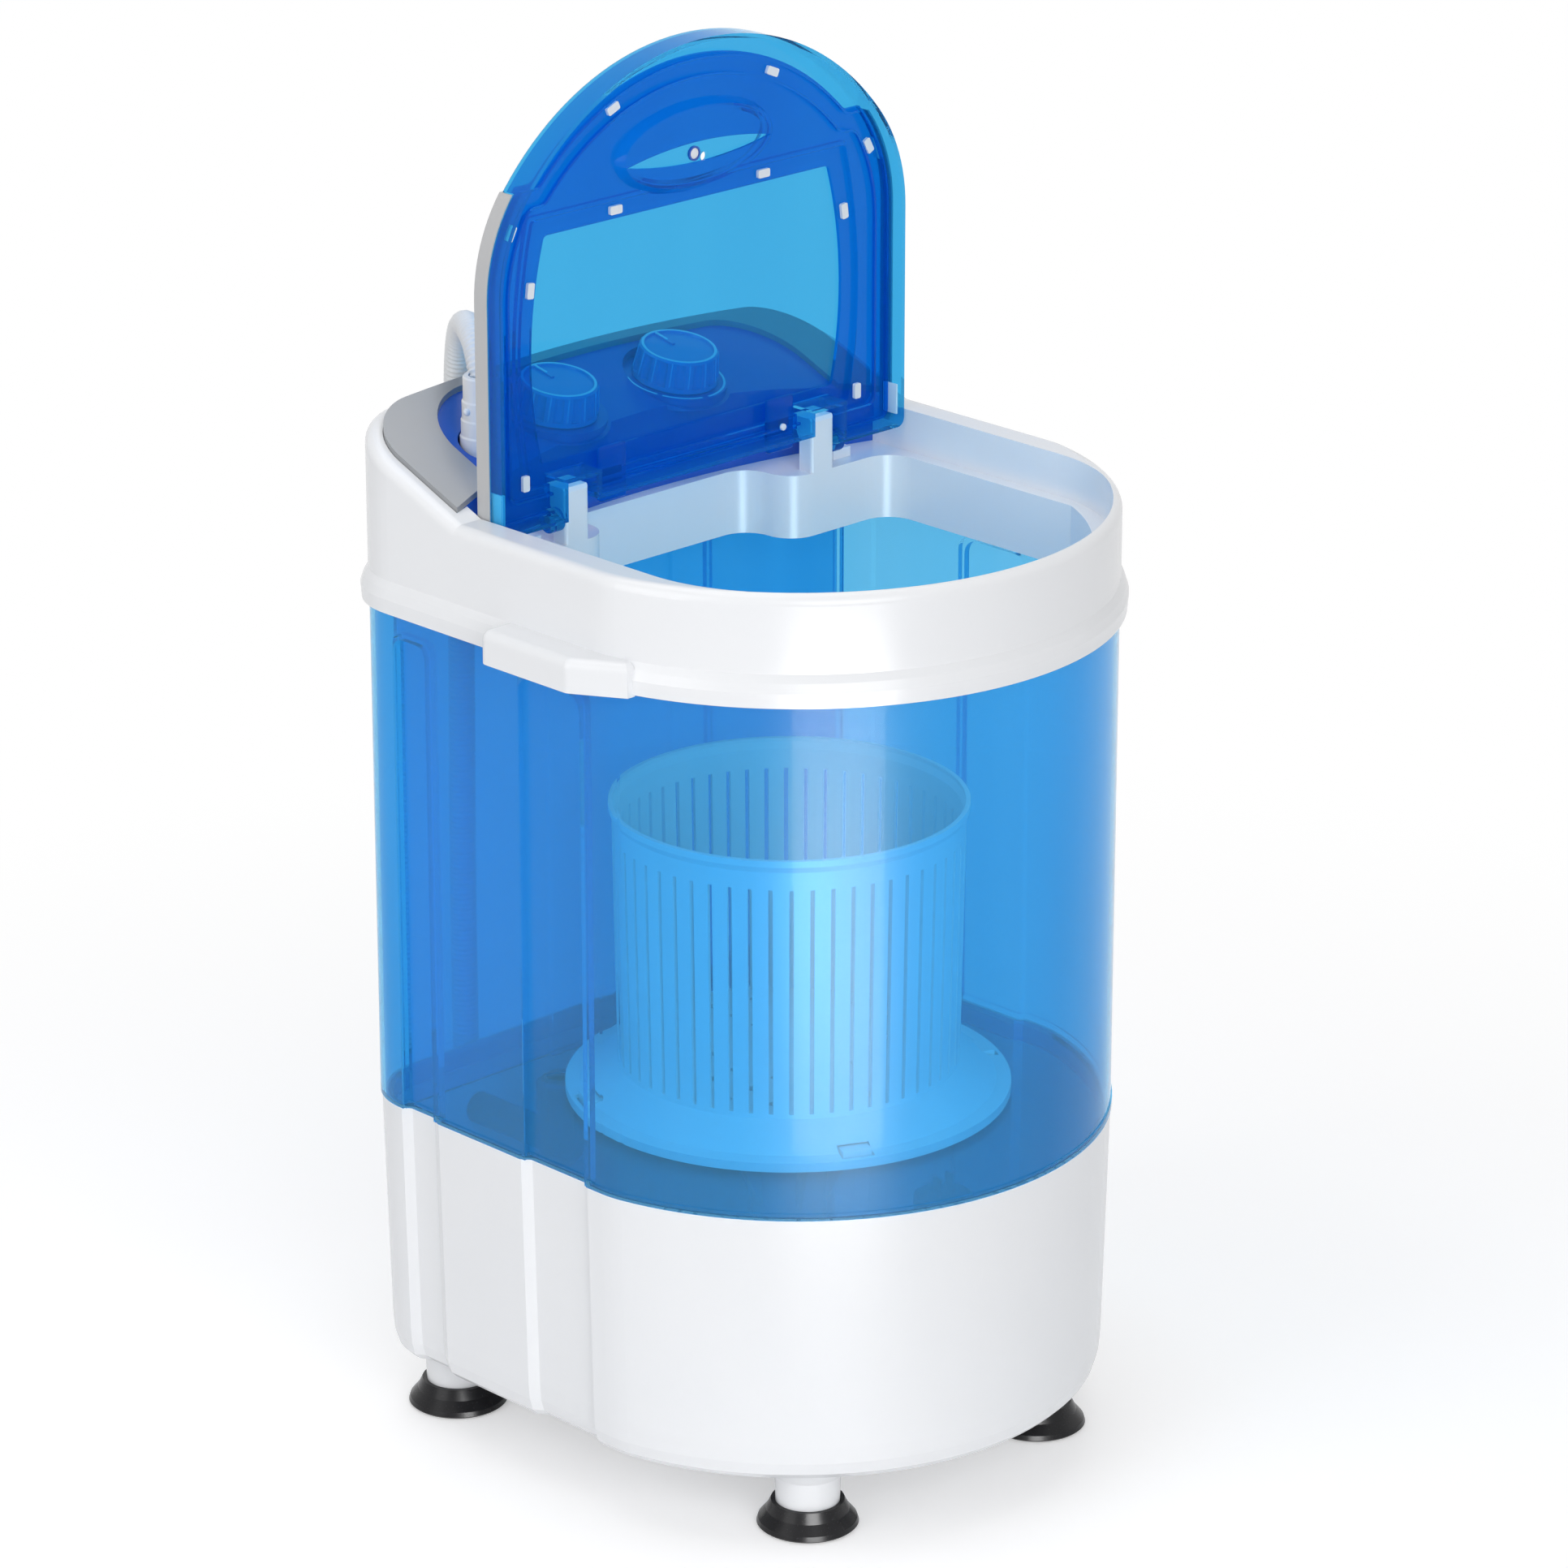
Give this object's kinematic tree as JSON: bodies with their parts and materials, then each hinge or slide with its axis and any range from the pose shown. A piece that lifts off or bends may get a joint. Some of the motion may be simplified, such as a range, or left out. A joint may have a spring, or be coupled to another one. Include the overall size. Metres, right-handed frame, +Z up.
{
  "type": "mini washing machine",
  "caption": "Compact single-tub washing machine with a clear hinged lid, lift-out spin basket over a pulsator, control knobs and a ribbed inlet hose, on rubber feet.",
  "frame": {"origin": "on the floor under the middle of the machine's plan, the lid standing open", "axes": "+X to the right as the user faces the front, +Y to the back, +Z up"},
  "size_m": [0.374, 0.3915, 0.767],
  "materials": {
    "white_plastic": "moulded",
    "screw_steel": "zinc",
    "black_rubber": "smooth",
    "blue_clear": "clear moulded",
    "deck_blue": "moulded",
    "bezel_grey": "satin",
    "cuff_white": "moulded",
    "hose_white": "ribbed",
    "connector_grey": "moulded",
    "black_plastic": "moulded",
    "shaft_steel": "turned",
    "knob_blue": "clear blue",
    "lid_blue": "clear moulded",
    "lid_inner_blue": "clear moulded",
    "basket_white": "moulded",
    "pulley_grey": "moulded",
    "housing_grey": "cast",
    "motor_grey": "painted",
    "bracket_steel": "galvanised",
    "belt_black": "matt"
  },
  "bodies": {
    "machine": {"base_housing": "white_plastic", "base_cover": "white_plastic", "cover_screws": "screw_steel", "rubber_feet": "black_rubber", "foot_screws": "screw_steel", "tub_shell": "blue_clear", "top_frame": "white_plastic", "frame_screws": "screw_steel", "control_deck": "deck_blue", "panel_bezel": "bezel_grey", "inlet_socket": "white_plastic", "hose_cuff": "cuff_white", "inlet_hose": "hose_white", "tap_connector": "connector_grey", "wash_timer": "black_plastic", "spin_switch": "black_plastic", "hinge_pins": "shaft_steel", "shaft_seal": "black_rubber", "bearings": "shaft_steel", "bearing_housing": "housing_grey", "flange_screws": "screw_steel", "motor": "motor_grey", "motor_bracket": "bracket_steel", "motor_screws": "screw_steel", "bracket_screws": "screw_steel", "drive_belt": "belt_black", "capacitor": "black_plastic", "capacitor_clip": "black_plastic", "drain_elbow": "black_rubber", "cord_gland": "black_plastic"},
    "lid": {"lid_outer": "lid_blue", "lid_inner": "lid_inner_blue", "lid_clips": "white_plastic", "lid_trims": "bezel_grey"},
    "wash_control": {"wash_knob": "knob_blue", "wash_spindle": "shaft_steel"},
    "spin_control": {"spin_knob": "knob_blue", "spin_spindle": "shaft_steel"},
    "drive": {"pulsator": "basket_white", "drive_shaft": "shaft_steel", "shaft_nut": "screw_steel", "drive_pulley": "pulley_grey"},
    "basket": {"spin_basket": "basket_white"},
    "rotor": {"motor_rotor": "shaft_steel", "motor_pulley": "pulley_grey"}
  },
  "joints": [
    {"name": "lid_hinge", "type": "hinge", "parent": "machine", "child": "lid", "pos_m": [0, 0.076, 0.524], "axis": [1, 0, 0], "range_deg": [0, 90]},
    {"name": "wash_knob_turn", "type": "hinge", "parent": "machine", "child": "wash_control", "pos_m": [-0.052, 0.13, 0.56196], "axis": [0, 0.2079, -0.9781], "range_deg": [0, 300]},
    {"name": "spin_knob_turn", "type": "hinge", "parent": "machine", "child": "spin_control", "pos_m": [0.036, 0.13, 0.56247], "axis": [0, 0.2079, -0.9781], "range_deg": [0, 180]},
    {"name": "drive_spin", "type": "hinge", "parent": "machine", "child": "drive", "pos_m": [0, 0.004, 0.07], "axis": [0, 0, 1], "continuous": true},
    {"name": "motor_spin", "type": "hinge", "parent": "machine", "child": "rotor", "pos_m": [0, 0.095, 0.07], "axis": [0, 0, 1], "continuous": true},
    {"name": "basket_lift", "type": "slide", "parent": "drive", "child": "basket", "axis": [0, 0, 1], "range_m": [0, 0.12]}
  ],
  "couplings": [
    {"joint": "motor_spin", "follows": "drive_spin", "ratio": 4}
  ]
}
